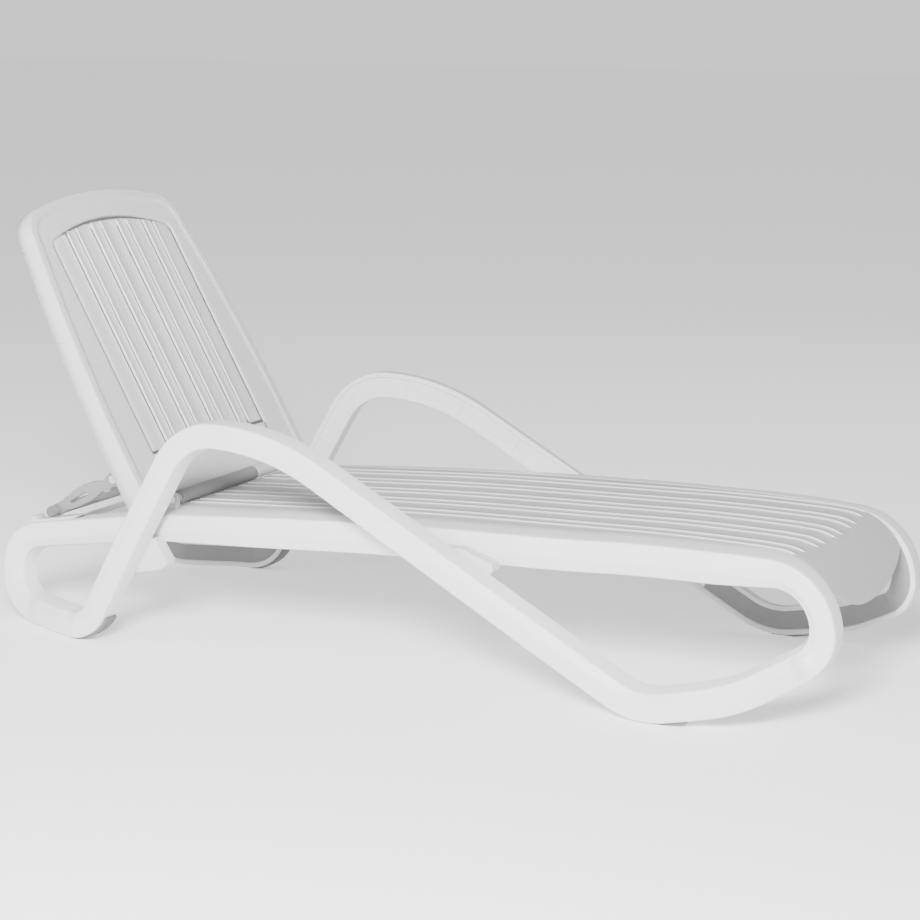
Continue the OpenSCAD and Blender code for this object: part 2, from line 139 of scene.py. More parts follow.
def ribbon_section(depth, left, right, grow):
    """Outline of the box: drafted flanks, rounded corners, a soft ridge, a shallow recess inside."""
    h, w, r, q = depth / 2, RIBBON_W / 2, 0.0055, 0.0022
    out_w = w + OUT_GROWTH
    top, low = h + grow, -h
    pts = [(top - 0.0004, -w + q * 1.2), (top - left * 0.45, 0.0)]
    corner = [(math.sin(math.radians(b)), math.cos(math.radians(b))) for b in (88, 66, 45, 22, 2)]
    pts += [(top - left - r + r * a, out_w - r + r * b) for a, b in corner]
    ridge = low + (top - low) * 0.40
    pts += [(h * 0.35, out_w + 0.0006), (ridge + 0.0022, out_w + 0.0010), (ridge, out_w + 0.0007),
            (ridge - 0.0022, out_w - 0.0002)]
    slope = 0.001 + 0.0075 * min(1.0, max(0.0, (right - 0.0012) / 0.0073))
    pts += [(low + right + r - r * a, out_w - slope - r + r * b) for a, b in reversed(corner)]
    pts += [(low + right * 0.45, 0.0), (low + 0.0004, -w + q * 1.2), (low + q, -w)]
    rim, dip = 0.0105, 0.0032
    pts += [(low + rim, -w), (low + rim + 0.0009, -w + 0.0008), (low + rim + 0.0022, -w + dip),
            (top - rim - 0.0022, -w + dip), (top - rim - 0.0009, -w + 0.0008), (top - rim, -w), (top - q, -w)]
    return pts


def mesh_object(name, verts, faces, smooth_deg=35):
    mesh = bpy.data.meshes.new(name)
    mesh.from_pydata([tuple(v) for v in verts], [], faces)
    mesh.validate()
    for p in mesh.polygons:
        p.use_smooth = True
    mesh.set_sharp_from_angle(angle=math.radians(smooth_deg))
    obj = bpy.data.objects.new(name, mesh)
    bpy.context.scene.collection.objects.link(obj)
    return obj


def fix_normals(obj, smooth_deg=35):
    bm = bmesh.new()
    bm.from_mesh(obj.data)
    bmesh.ops.remove_doubles(bm, verts=bm.verts, dist=1e-6)
    bmesh.ops.recalc_face_normals(bm, faces=bm.faces)
    bm.to_mesh(obj.data)
    bm.free()
    for p in obj.data.polygons:
        p.use_smooth = True
    obj.data.set_sharp_from_angle(angle=math.radians(smooth_deg))


def resin(name, colour, rough, grain, grain_size):
    """Moulded polypropylene: faint colour drift, spark-eroded grain, broken gloss."""
    mat = bpy.data.materials.new(name)
    mat.use_nodes = True
    nt = mat.node_tree
    bsdf = nt.nodes["Principled BSDF"]
    co = nt.nodes.new("ShaderNodeTexCoord")
    drift = nt.nodes.new("ShaderNodeTexNoise")
    drift.inputs["Scale"].default_value = 5.0
    drift.inputs["Detail"].default_value = 3.0
    ramp = nt.nodes.new("ShaderNodeValToRGB")
    ramp.color_ramp.elements[0].position = 0.3
    ramp.color_ramp.elements[1].position = 0.72
    ramp.color_ramp.elements[0].color = (*[c * 0.955 for c in colour], 1)
    ramp.color_ramp.elements[1].color = (*colour, 1)
    fine = nt.nodes.new("ShaderNodeTexNoise")
    fine.inputs["Scale"].default_value = 1.0 / grain_size
    fine.inputs["Detail"].default_value = 4.0
    fine.inputs["Roughness"].default_value = 0.6
    cell = nt.nodes.new("ShaderNodeTexVoronoi")
    cell.inputs["Scale"].default_value = 0.7 / grain_size
    add = nt.nodes.new("ShaderNodeMath")
    add.operation = "ADD"
    bump = nt.nodes.new("ShaderNodeBump")
    bump.inputs["Strength"].default_value = grain
    bump.inputs["Distance"].default_value = grain_size * 0.35
    gloss = nt.nodes.new("ShaderNodeMapRange")
    gloss.inputs["From Min"].default_value = 0.3
    gloss.inputs["From Max"].default_value = 0.7
    gloss.inputs["To Min"].default_value = rough - 0.06
    gloss.inputs["To Max"].default_value = rough + 0.07
    for tex in (drift, fine, cell):
        nt.links.new(co.outputs["Object"], tex.inputs["Vector"])
    nt.links.new(drift.outputs["Fac"], ramp.inputs["Fac"])
    nt.links.new(ramp.outputs["Color"], bsdf.inputs["Base Color"])
    nt.links.new(fine.outputs["Fac"], add.inputs[0])
    nt.links.new(cell.outputs["Distance"], add.inputs[1])
    nt.links.new(add.outputs[0], bump.inputs["Height"])
    nt.links.new(bump.outputs["Normal"], bsdf.inputs["Normal"])
    nt.links.new(fine.outputs["Fac"], gloss.inputs["Value"])
    nt.links.new(gloss.outputs["Result"], bsdf.inputs["Roughness"])
    bsdf.inputs["Specular IOR Level"].default_value = 0.4
    return mat


frame_resin = resin("frame_resin", (0.74, 0.74, 0.737), 0.42, 0.18, 0.0007)
# Dark grey resin for the sunk inner faces of the foot loops: painted shade under the deck.
painted_shade_recess_resin = resin("painted_shade_recess_resin", (0.24, 0.24, 0.238), 0.6, 0.5, 0.0012)


def in_foot(u):
    return 3.0 < u < 6.25 or 8.75 < u < 10.2


def ribbon_mesh(name, side):
    verts, faces = [], []
    rows = zip(path, path_y, path_d, path_left, path_right, path_grow)
    for (x, z, a, u), y, d, left, right, grow in rows:
        nx, nz = -math.sin(a), math.cos(a)
        section = ribbon_section(d, left, right, grow)
        for n, t in section:
            verts.append((x + nx * n, side * (y + t), z + nz * n))
    ns, count = len(section), len(path)
    for i in range(count):
        j = (i + 1) % count
        for k in range(ns):
            m = (k + 1) % ns
            faces.append((i * ns + k, i * ns + m, j * ns + m, j * ns + k))
    obj = mesh_object(name, verts, faces, 30)
    fix_normals(obj, 30)
    obj.data.materials.append(frame_resin)
    obj.data.materials.append(painted_shade_recess_resin)
    # In the foot loops the sunk inner face takes the dark second material: painted shade.
    sunk = ns - 5
    for i in range(count):
        if in_foot(path[i][3]):
            obj.data.polygons[i * ns + sunk].material_index = 1
    return obj


def recess_ribs(name, side):
    """Low ribs across the sunk inner face, set out along the centreline."""
    places, turns, spans = [], [], []
    run, last = 0.07, None
    for (x, z, a, u), y, d, grow in zip(path, path_y, path_d, path_grow):
        here = Vector((x, z))
        if last is not None:
            run += (here - last).length
        last = here
        if run > 0.14:
            run = 0.0
            if in_foot(u):
                continue
            mid = grow / 2
            places.append((x - math.sin(a) * mid, side * (y - RIBBON_W / 2 + 0.0018),
                           z + math.cos(a) * mid))
            turns.append(-(a + math.radians(90)))
            spans.append(d + grow - 0.020)
    mesh = bpy.data.meshes.new(name)
    mesh.from_pydata(places, [], [])
    for key, vals in (("turn", turns), ("span", spans)):
        att = mesh.attributes.new(key, "FLOAT", "POINT")
        att.data.foreach_set("value", vals)
    obj = bpy.data.objects.new(name, mesh)
    bpy.context.scene.collection.objects.link(obj)

    tree = bpy.data.node_groups.new(name + "_tree", "GeometryNodeTree")
    face = tree.interface
    face.new_socket("Geometry", in_out="INPUT", socket_type="NodeSocketGeometry")
    thick = face.new_socket("Web thickness", in_out="INPUT", socket_type="NodeSocketFloat")
    wide = face.new_socket("Web width", in_out="INPUT", socket_type="NodeSocketFloat")
    face.new_socket("Geometry", in_out="OUTPUT", socket_type="NodeSocketGeometry")
    n_in = tree.nodes.new("NodeGroupInput")
    n_out = tree.nodes.new("NodeGroupOutput")
    size = tree.nodes.new("ShaderNodeCombineXYZ")
    size.inputs["X"].default_value = 1.0
    cube = tree.nodes.new("GeometryNodeMeshCube")
    span = tree.nodes.new("GeometryNodeInputNamedAttribute")
    span.data_type = "FLOAT"
    span.inputs["Name"].default_value = "span"
    turn = tree.nodes.new("GeometryNodeInputNamedAttribute")
    turn.data_type = "FLOAT"
    turn.inputs["Name"].default_value = "turn"
    rot = tree.nodes.new("ShaderNodeCombineXYZ")
    scl = tree.nodes.new("ShaderNodeCombineXYZ")
    scl.inputs["Y"].default_value = 1.0
    scl.inputs["Z"].default_value = 1.0
    inst = tree.nodes.new("GeometryNodeInstanceOnPoints")
    real = tree.nodes.new("GeometryNodeRealizeInstances")
    setm = tree.nodes.new("GeometryNodeSetMaterial")
    setm.inputs["Material"].default_value = frame_resin
    link = tree.links.new
    link(n_in.outputs["Web width"], size.inputs["Y"])
    link(n_in.outputs["Web thickness"], size.inputs["Z"])
    link(size.outputs["Vector"], cube.inputs["Size"])
    link(n_in.outputs["Geometry"], inst.inputs["Points"])
    link(cube.outputs["Mesh"], inst.inputs["Instance"])
    link(turn.outputs["Attribute"], rot.inputs["Y"])
    link(span.outputs["Attribute"], scl.inputs["X"])
    link(rot.outputs["Vector"], inst.inputs["Rotation"])
    link(scl.outputs["Vector"], inst.inputs["Scale"])
    link(inst.outputs["Instances"], real.inputs["Geometry"])
    link(real.outputs["Geometry"], setm.inputs["Geometry"])
    link(setm.outputs["Geometry"], n_out.inputs["Geometry"])
    mod = obj.modifiers.new("ribs", "NODES")
    mod.node_group = tree
    mod[thick.identifier] = 0.0032
    mod[wide.identifier] = 0.0036
    return baked(obj)


def baked(obj):
    """The evaluated result of an object's Geometry Nodes as a plain mesh object."""
    name = obj.name
    dg = bpy.context.evaluated_depsgraph_get()
    mesh = bpy.data.meshes.new_from_object(obj.evaluated_get(dg))
    bpy.data.objects.remove(obj)
    out = bpy.data.objects.new(name, mesh)
    bpy.context.scene.collection.objects.link(out)
    return out


for side, word in ((1, "left"), (-1, "right")):
    shell = ribbon_mesh(word + "_frame_ribbon", side)
    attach(shell, "base")
    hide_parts(word + "_side_frame")
    webs = recess_ribs(word + "_frame_ribs", side)
    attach(webs, "base")


# ---------------------------------------------------------------------------
# Seat deck. One moulded panel that drops in between the rails, crowned along its
# length and rolled down over the foot loops. Five narrow ribs run along it, each
# between two grooves that stop short of the roll. Screwed up from below.

DECK_HEAD_X = -0.541
RIB_PITCH = 0.097
RIB_W = 0.037
GROOVE_W = 0.0085
GROOVE_D = 0.0060
DECK_KEYS = [(-0.15, 0.039), (2.6, 0.039), (2.85, 0.037), (3.0, 0.027), (3.15, 0.014)]


def deck_profile():
    """Rows of the deck from head to foot: surface point, heading, inner half width."""
    rows = []
    for (x, z, a, u), y in zip(path, path_y):
        if u > 3.16:
            break
        o = read_keys(DECK_KEYS, u)
        rows.append([x - math.sin(a) * o, z + math.cos(a) * o, a, y - RIBBON_W / 2 - 0.001])
    first = next(i for i, r in enumerate(rows) if r[0] > DECK_HEAD_X)
    return rows[first:]


def groove_lines():
    out = []
    for k in range(-2, 3):
        out += [k * RIB_PITCH - RIB_W / 2, k * RIB_PITCH + RIB_W / 2]
    return out


def groove_cut(y, lines, share, wide=GROOVE_W, deep=GROOVE_D):
    """How far a groove goes below the surface at y; its lips stand a little proud."""
    for c in lines:
        d = abs(y - c) / (wide / 2)
        if d < 1:
            return deep * share * (1 - d ** 5)
        if d < 2:
            return -0.0012 * share * math.sin(math.pi * (d - 1))
    return 0.0


def cross_places(half, lines, gap=0.012, wide=GROOVE_W):
    """Places across a panel, closer together at the grooves and at the rounded edge."""
    out = [0.0]
    for c in lines:
        out += [c + wide * f for f in (-1, -0.8, -0.6, -0.5, -0.47, -0.42, -0.34, 0.0,
                                       0.34, 0.42, 0.47, 0.5, 0.6, 0.8, 1)]
    out += [s * (half - e) for s in (-1, 1) for e in (0.0, 0.001, 0.0025, 0.005, 0.009, 0.014)]
    out = sorted(out)
    dense = [out[0]]
    for v in out[1:]:
        n = max(1, int((v - dense[-1]) / gap))
        a = dense[-1]
        for k in range(1, n + 1):
            dense.append(a + (v - a) * k / n)
    return dense


def paint_groove_shade_and_lip_highlight(obj, lines, wide, low_x, high_x):
    """Groove floors take the second, dark material as painted shade; their lips take the third, lighter one as a
    painted highlight.
    """
    for p in obj.data.polygons:
        c = p.center
        near = min(abs(c.y - g) for g in lines) / wide
        if near < 1.0 and low_x < c.x < high_x(c.y):
            if near < 0.43:
                p.material_index = 1
            elif near < 0.62:
                p.material_index = 2


deck_rows = deck_profile()
deck_half = max(r[3] for r in deck_rows)
deck_lines = groove_lines()
deck_places = cross_places(deck_half, deck_lines)


def build_deck():
    verts, faces = [], []
    length = [0.0]
    for a, b in zip(deck_rows, deck_rows[1:]):
        length.append(length[-1] + math.hypot(b[0] - a[0], b[1] - a[1]))
    total = length[-1]
    roll = next(s for r, s in zip(deck_rows, length) if r[0] > 0.80)

    def row_at(s):
        i = min(range(len(length) - 1), key=lambda q: 0 if length[q] <= s <= length[q + 1] else 1)
        f = (s - length[i]) / (length[i + 1] - length[i])
        return [p + (q - p) * f for p, q in zip(deck_rows[i], deck_rows[i + 1])]

    def last_place(y):
        edge_z = 0.614 - math.sqrt(0.42 ** 2 - y * y)
        for p, q, s, t in zip(deck_rows, deck_rows[1:], length, length[1:]):
            if q[0] > 0.86 and q[1] < edge_z:
                return s + (t - s) * (p[1] - edge_z) / (p[1] - q[1])
        return total

    fixed = max(abs(c) for c in deck_lines) + GROOVE_W

    def across(y0, half):
        if abs(y0) <= fixed:
            return y0
        k = (abs(y0) - fixed) / (deck_half - fixed)
        return math.copysign(fixed + (half - fixed) * k, y0)

    ends = {y0: last_place(across(y0, deck_rows[-1][3])) for y0 in deck_places}
    for (x, z, a, half), s in zip(deck_rows, length):
        nx, nz = -math.sin(a), math.cos(a)
        for y0 in deck_places:
            if s > roll:
                x, z, a, half = row_at(roll + (s - roll) * (ends[y0] - roll) / (total - roll))
                nx, nz = -math.sin(a), math.cos(a)
            y = across(y0, half)
            end_x = 0.861 - 0.30 * y * y
            share = min(1.0, max(0.0, (end_x - x) / 0.012))
            share *= min(1.0, max(0.0, (x + 0.527) / 0.008))
            low = groove_cut(y, deck_lines, share)
            e = half - abs(y)
            if e < 0.014:
                low += 0.005 * (1 - e / 0.014) ** 2
            low += max(0.0, 0.006 - s) ** 2 / 0.012
            verts.append((x - nx * low, y, z - nz * low))
    n = len(deck_places)
    for i in range(len(deck_rows) - 1):
        for k in range(n - 1):
            faces.append((i * n + k, i * n + k + 1, (i + 1) * n + k + 1, (i + 1) * n + k))
    m = len(deck_rows)

    def skirt(ids, drop):
        base = len(verts)
        for q, i in enumerate(ids):
            row = deck_rows[i // n]
            nx, nz = -math.sin(row[2]), math.cos(row[2])
            x, y, z = verts[i]
            verts.append((x - nx * drop[q], y, z - nz * drop[q]))
        for q in range(len(ids) - 1):
            faces.append((ids[q], ids[q + 1], base + q + 1, base + q))

    left_ids = [i * n for i in range(m)]
    right_ids = [i * n + n - 1 for i in range(m)]
    drops = [0.040 - 0.018 * min(1.0, max(0.0, (deck_rows[i][0] - 0.80) / 0.12)) for i in range(m)]
    skirt(left_ids, drops)
    skirt(right_ids, drops)
    skirt(list(range(n)), [0.016] * n)
    obj = mesh_object("deck_panel", verts, faces, 38)
    fix_normals(obj, 38)
    return obj


deck = build_deck()
bm = bmesh.new()
bm.from_mesh(deck.data)
up = sum(f.normal.z for f in bm.faces)
if up < 0:
    bmesh.ops.reverse_faces(bm, faces=bm.faces)
bm.to_mesh(deck.data)
bm.free()
wall = deck.modifiers.new("wall", "SOLIDIFY")
wall.thickness = 0.004
wall.material_offset = -2
wall.offset = -1
# The deck takes a darker copy of the white resin: painted shade on its upward face.
deck_painted_shade_resin = resin("deck_painted_shade_resin", (0.46, 0.46, 0.458), 0.55, 0.6, 0.0024)
# Near-black resin for groove floors and the back field's edge gap: painted shade.
painted_shade_groove_resin = resin("painted_shade_groove_resin", (0.12, 0.12, 0.119), 0.6, 0.4, 0.0014)
deck.data.materials.append(deck_painted_shade_resin)
deck.data.materials.append(painted_shade_groove_resin)
# The frame resin, lighter than the deck, paints a highlight on the groove lips.
deck.data.materials.append(frame_resin)
paint_groove_shade_and_lip_highlight(deck, deck_lines, GROOVE_W, -0.527, lambda y: 0.856 - 0.30 * y * y)
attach(deck, "base")
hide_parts("seat_deck")


# ---------------------------------------------------------------------------
# Back panel. One moulded shell: a plain raised border round a sunk field of flat
# strips and narrow ribs, with a flange all round. It turns on two pins at its
# lower corners, in ears that reach forward of the panel.

HINGE = Vector((-0.535, 0.0, 0.302))
BACK_A = math.radians(60.5)
UP = Vector((-math.cos(BACK_A), 0.0, math.sin(BACK_A)))
FORE = Vector((math.sin(BACK_A), 0.0, math.cos(BACK_A)))
EDGE_U = 0.0147
FRONT_W = -0.0158
BACK_LEN = 0.712
FIELD_HALF = 0.226
BACK_GROOVE = 0.0085
FIELD_LOW = 0.095
FIELD_PEAK = 0.645
FIELD_SAG = 0.034
RIB_CENTRES = (-0.1455, -0.0485, 0.0485, 0.1455)
SIDE_KEYS = [(0.0, 0.333), (0.153, 0.333), (0.217, 0.332), (0.301, 0.326), (0.444, 0.314),
             (0.572, 0.293), (0.640, 0.281)]


def on_back(u, y, w):
    return HINGE + (u + EDGE_U) * UP + Vector((0, y, 0)) + (w + FRONT_W) * FORE


def back_outline():
    """Half of the panel's outline from the lower corner to the top middle, as (u, y)."""
    r, cu = 0.075, BACK_LEN - 0.024 - 0.075
    pts = []
    n = 60
    for k in range(n + 1):
        u = cu * k / n
        pts.append((u, read_keys(SIDE_KEYS, u)))
    ys = [p[1] for p in pts]
    for _ in range(60):
        ys = [ys[0]] + [(ys[i - 1] + 2 * ys[i] + ys[i + 1]) / 4 for i in range(1, n)] + [ys[-1]]
    pts = [(p[0], y) for p, y in zip(pts, ys)]
    cy = pts[-1][1] - r
    for k in range(1, 15):
        a = math.radians(-4 + 82 * k / 14)
        pts.append((cu + r * math.sin(a), cy + r * math.cos(a)))
    u1, y1 = pts[-1]
    for k in range(1, 25):
        y = y1 * (1 - k / 24)
        pts.append((u1 + (BACK_LEN - u1) * (1 - (y / y1) ** 2), y))
    return pts


def field_outline():
    """The same number of points round the sunk field."""
    pts = []
    top, low, r = 0.611, 0.0, 0.022
    n = 60
    for k in range(n + 1):
        pts.append((low + (top - low - r) * k / n, FIELD_HALF))
    for k in range(1, 15):
        a = math.radians(80 * k / 14)
        pts.append((top - r + r * math.sin(a), FIELD_HALF - r + r * math.cos(a)))
    u1, y1 = pts[-1]
    for k in range(1, 25):
        y = y1 * (1 - k / 24)
        pts.append((u1 + (FIELD_PEAK - u1) * (1 - (y / y1) ** 2), y))
    return pts


def flange_depth(u):
    return 0.050 - 0.012 * min(1.0, u / BACK_LEN)


BORDER = [(0.0, -1.0), (0.0, -0.5), (0.0, -0.0052), (0.0006, -0.0028), (0.0020, -0.0008),
          (0.0040, 0.0), (0.0070, 0.0004), (0.0160, 0.0002)]


def border_row(o, f):
    """Points from the flange's rear edge over the border and down into the field."""
    (uo, yo), (uf, yf) = o, f
    d = Vector((uf - uo, yf - yo))
    dist = d.length
    d /= dist
    depth = flange_depth(uo)
    row = []
    for inset, w in BORDER:
        if w == -1.0:
            w = -depth
        elif w == -0.5:
            w = -depth * 0.5
        row.append((uo + d.x * inset, yo + d.y * inset, w))
    for inset, w in ((0.0200, 0.0008), (0.0225, -0.0004), (0.0250, -0.0022), (0.034, -0.0024)):
        row.append((uo + d.x * inset, yo + d.y * inset, w))
    for share in (0.55, 0.75, 0.88):
        row.append((uo + d.x * dist * share, yo + d.y * dist * share, -0.0022))
    beside_field = uf > FIELD_LOW
    for back, w in ((0.006, -0.0022), (0.0035, -0.0026), (0.0014, -0.0045), (0.0, -0.0125)):
        if not beside_field:
            w = -0.0022
        row.append((uf - d.x * back, yf - d.y * back, w))
    return row


def build_border():
    half = list(zip(back_outline(), field_outline()))
    loop = [((a[0], -a[1]), (b[0], -b[1])) for a, b in half] + \
           [(a, b) for a, b in reversed(half[:-1])]
    verts, faces = [], []
    for o, f in loop:
        verts += [on_back(u, y, w) for u, y, w in border_row(o, f)]
    n = len(border_row(*loop[0]))
    for i in range(len(loop) - 1):
        for k in range(n - 1):
            faces.append((i * n + k, i * n + k + 1, (i + 1) * n + k + 1, (i + 1) * n + k))
    return verts, faces


field_lines = [c + s * RIB_W / 2 for c in RIB_CENTRES for s in (-1, 1)]


def field_edge(place):
    """Distance of a point of the field from the field's outline."""
    u, y = (Vector(place) - HINGE).dot(UP) - EDGE_U, abs(place[1])
    arc = FIELD_PEAK - FIELD_SAG * (y / FIELD_HALF) ** 2
    return min(FIELD_HALF - y, u - FIELD_LOW, arc - u)


def build_field():
    lines = field_lines
    places = cross_places(FIELD_HALF, lines, 0.012, BACK_GROOVE)
    right = field_outline()
    verts, faces = [], []
    us = [FIELD_LOW + d for d in (0.0, 0.003, 0.0045, 0.006, 0.010)]
    us += [FIELD_LOW + 0.014 + (0.591 - FIELD_LOW) * k / 70 for k in range(71)]
    us += [0.605 + 0.040 * k / 16 for k in range(1, 17)]

    def reach(u):
        if u <= right[60][0]:
            return FIELD_HALF
        for (a, ya), (b, yb) in zip(right[60:], right[61:]):
            if a <= u <= b:
                return ya + (yb - ya) * (u - a) / max(b - a, 1e-9)
        return 0.0005

    for u in us:
        lim = reach(u)
        for y0 in places:
            y = max(-lim, min(lim, y0))
            arc = FIELD_PEAK - FIELD_SAG * (y / FIELD_HALF) ** 2
            share = min(1.0, max(0.0, (arc - 0.006 - u) / 0.006))
            share *= min(1.0, max(0.0, (u - FIELD_LOW - 0.008) / 0.008))
            cut = groove_cut(y, lines, share, BACK_GROOVE, 0.0034)
            inner = any(abs(y - c) < RIB_W / 2 - GROOVE_W / 2 for c in RIB_CENTRES)
            w = -0.0036 - cut + (0.0010 if inner else 0.0) * share
            e = min(lim - abs(y), u - FIELD_LOW + 0.001)
            if u >= 0.61:
                e = min(e, arc - u + 0.0005)
            w -= 0.0030 * max(0.0, min(1.0, (0.0080 - e) / 0.0015))
            verts.append(on_back(u, y, w))
    n = len(places)
    for i in range(len(us) - 1):
        for k in range(n - 1):
            faces.append((i * n + k, i * n + k + 1, (i + 1) * n + k + 1, (i + 1) * n + k))
    return verts, faces


back_resin = resin("back_resin", (0.62, 0.62, 0.617), 0.52, 0.75, 0.0032)
def build_apron():
    """The plain lower part of the shell between the border's two sides."""
    right = field_outline()[0][1]
    us = [0.0, 0.002, 0.006, 0.012, 0.03, 0.06, FIELD_LOW - 0.006, FIELD_LOW - 0.003, FIELD_LOW - 0.001, FIELD_LOW]
    drop = {0.0: -0.0060, 0.002: -0.0034, FIELD_LOW - 0.001: -0.0045, FIELD_LOW: -0.0125}
    ys = [-right + 2 * right * k / 40 for k in range(41)]
    verts = [on_back(u, y, drop.get(u, -0.0022)) for u in us for y in ys]
    faces = [(i * 41 + k, i * 41 + k + 1, (i + 1) * 41 + k + 1, (i + 1) * 41 + k)
             for i in range(len(us) - 1) for k in range(40)]
    return verts, faces


for name, (verts, faces) in (("back_border", build_border()), ("back_field", build_field()),
                             ("back_apron", build_apron())):
    obj = mesh_object(name, verts, faces, 40)
    bm = bmesh.new()
    bm.from_mesh(obj.data)
    bmesh.ops.remove_doubles(bm, verts=bm.verts, dist=1e-5)
    if sum(f.normal.dot(FORE) * f.calc_area() for f in bm.faces) < 0:
        bmesh.ops.reverse_faces(bm, faces=bm.faces)
    bm.to_mesh(obj.data)
    bm.free()
    obj.data.materials.append(back_resin)
    if name == "back_field":
        obj.data.materials.append(painted_shade_groove_resin)
        # The frame resin, lighter than the back, paints a highlight on the groove lips.
        obj.data.materials.append(frame_resin)
        paint_groove_shade_and_lip_highlight(obj, field_lines, BACK_GROOVE, on_back(0.634, 0, 0).x,
                     lambda y: on_back(FIELD_LOW + 0.012, 0, 0).x)
        # The gap round the field's edge also takes the dark material: painted shade.
        for q in obj.data.polygons:
            if field_edge(q.center) < 0.0062:
                q.material_index = 1
    wall = obj.modifiers.new("wall", "SOLIDIFY")
    wall.thickness = 0.0038
    wall.material_offset = -2
    wall.offset = -1
    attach(obj, "back")
    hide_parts("back_panel")


# ---------------------------------------------------------------------------
# Hinge roll. The lower edge of the back is curled into a barrel round the hinge
# line, in two lengths with a gap between them; it turns with the back.

# Dark grey resin for the prop and the hinge roll's long length: painted shade beneath the back.
painted_shade_prop_resin = resin("painted_shade_prop_resin", (0.25, 0.25, 0.249), 0.5, 0.4, 0.001)


def barrel(name, y0, y1, radius, mat):
    verts, faces, sides = [], [], 40
    ends = [(y0, radius - 0.002), (y0 + 0.002, radius), (y1 - 0.002, radius), (y1, radius - 0.002)]
    for y, r in ends:
        for k in range(sides):
            a = 2 * math.pi * k / sides
            verts.append((HINGE.x + r * math.cos(a), y, HINGE.z + r * math.sin(a)))
    for i in range(len(ends) - 1):
        for k in range(sides):
            m = (k + 1) % sides
            faces.append((i * sides + k, i * sides + m, (i + 1) * sides + m, (i + 1) * sides + k))
    faces.append(tuple(range(sides)))
    faces.append(tuple(range(3 * sides, 4 * sides)))
    obj = mesh_object(name, verts, faces, 40)
    fix_normals(obj, 40)
    obj.data.materials.append(mat)
    return obj


# The long length takes the dark prop resin as painted shade; the short length keeps the back's resin.
for name, y0, y1, r, mat in (("hinge_roll_long", -0.240, 0.060, 0.0156, painted_shade_prop_resin),
                             ("hinge_roll_short", 0.064, 0.240, 0.0142, back_resin)):
    roll_piece = barrel(name, y0, y1, r, mat)
    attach(roll_piece, "back")


# ---------------------------------------------------------------------------
# Cross-members, hinge lugs, leg brackets, racks and the back's brackets. Solid
# mouldings in the same resin, with their edges broken, screwed to their seats.

def softened(node, mat, body, width):
    """A copy of a CAD piece with merged faces and broken edges, in its own material."""
    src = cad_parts[node]
    bm = bmesh.new()
    bm.from_mesh(src.data)
    bmesh.ops.remove_doubles(bm, verts=bm.verts, dist=2e-6)
    bmesh.ops.dissolve_limit(bm, angle_limit=math.radians(0.5), verts=bm.verts, edges=bm.edges)
    mesh = bpy.data.meshes.new(node + "_shape")
    bm.to_mesh(mesh)
    bm.free()
    for p in mesh.polygons:
        p.use_smooth = True
    mesh.set_sharp_from_angle(angle=math.radians(35))
    mesh.materials.clear()
    mesh.materials.append(mat)
    obj = bpy.data.objects.new(node + "_shape", mesh)
    bpy.context.scene.collection.objects.link(obj)
    edge = obj.modifiers.new("edge", "BEVEL")
    edge.width = width
    edge.segments = 2
    edge.limit_method = "ANGLE"
    edge.angle_limit = math.radians(35)
    edge.harden_normals = False
    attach(obj, body)
    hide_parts(node)
    return obj


member_resin = resin("member_resin", (0.62, 0.62, 0.617), 0.5, 0.25, 0.0009)
for node in ("hinge_cross_member", "middle_cross_member", "foot_cross_member",
             "head_cross_member", "left_hinge_lug", "right_hinge_lug", "left_rack",
             "right_rack", "left_rear_leg_bracket", "right_rear_leg_bracket",
             "left_front_leg_bracket", "right_front_leg_bracket"):
    softened(node, member_resin, "base", 0.0015)
for node in ("left_prop_bracket", "right_prop_bracket", "prop_pin_caps"):
    softened(node, member_resin, "back", 0.0012)
softened("hinge_pin_caps", member_resin, "base", 0.0008)


# ---------------------------------------------------------------------------
# Prop. Two moulded arms clamp a tube that slides along the racks; pins through
# the arms' upper ends hang them from the brackets behind the back.

PROP_PIN = Vector((-0.7055, 0.3244))
PROP_FOOT = Vector((-0.8567, 0.2424))


def outline_plate(name, loops, y, half, bevel, mat):
    """A plate in the plane of the joints, cut to outlines given as (along, across) the arm."""
    run = (PROP_FOOT - PROP_PIN).normalized()
    side = Vector((-run.y, run.x))
    curve = bpy.data.curves.new(name, "CURVE")
    curve.dimensions = "2D"
    curve.fill_mode = "BOTH"
    curve.extrude = half - bevel
    curve.bevel_depth = bevel
    curve.bevel_resolution = 1
    for loop in loops:
        spline = curve.splines.new("POLY")
        spline.points.add(len(loop) - 1)
        for point, (a, b) in zip(spline.points, loop):
            q = PROP_PIN + run * a + side * b
            point.co = (q.x, q.y, 0, 1)
        spline.use_cyclic_u = True
    obj = bpy.data.objects.new(name, curve)
    bpy.context.scene.collection.objects.link(obj)
    dg = bpy.context.evaluated_depsgraph_get()
    mesh = bpy.data.meshes.new_from_object(obj.evaluated_get(dg))
    bpy.data.objects.remove(obj)
    mesh.transform(Matrix(((1, 0, 0, 0), (0, 0, -1, y), (0, 1, 0, 0), (0, 0, 0, 1))))
    out = bpy.data.objects.new(name, mesh)
    bpy.context.scene.collection.objects.link(out)
    fix_normals(out, 35)
    mesh.materials.clear()
    mesh.materials.append(mat)
    return out


def ring(centre, radius, a0, a1, count):
    return [(centre + radius * math.cos(math.radians(a0 + (a1 - a0) * k / count)),
             radius * math.sin(math.radians(a0 + (a1 - a0) * k / count))) for k in range(count + 1)]


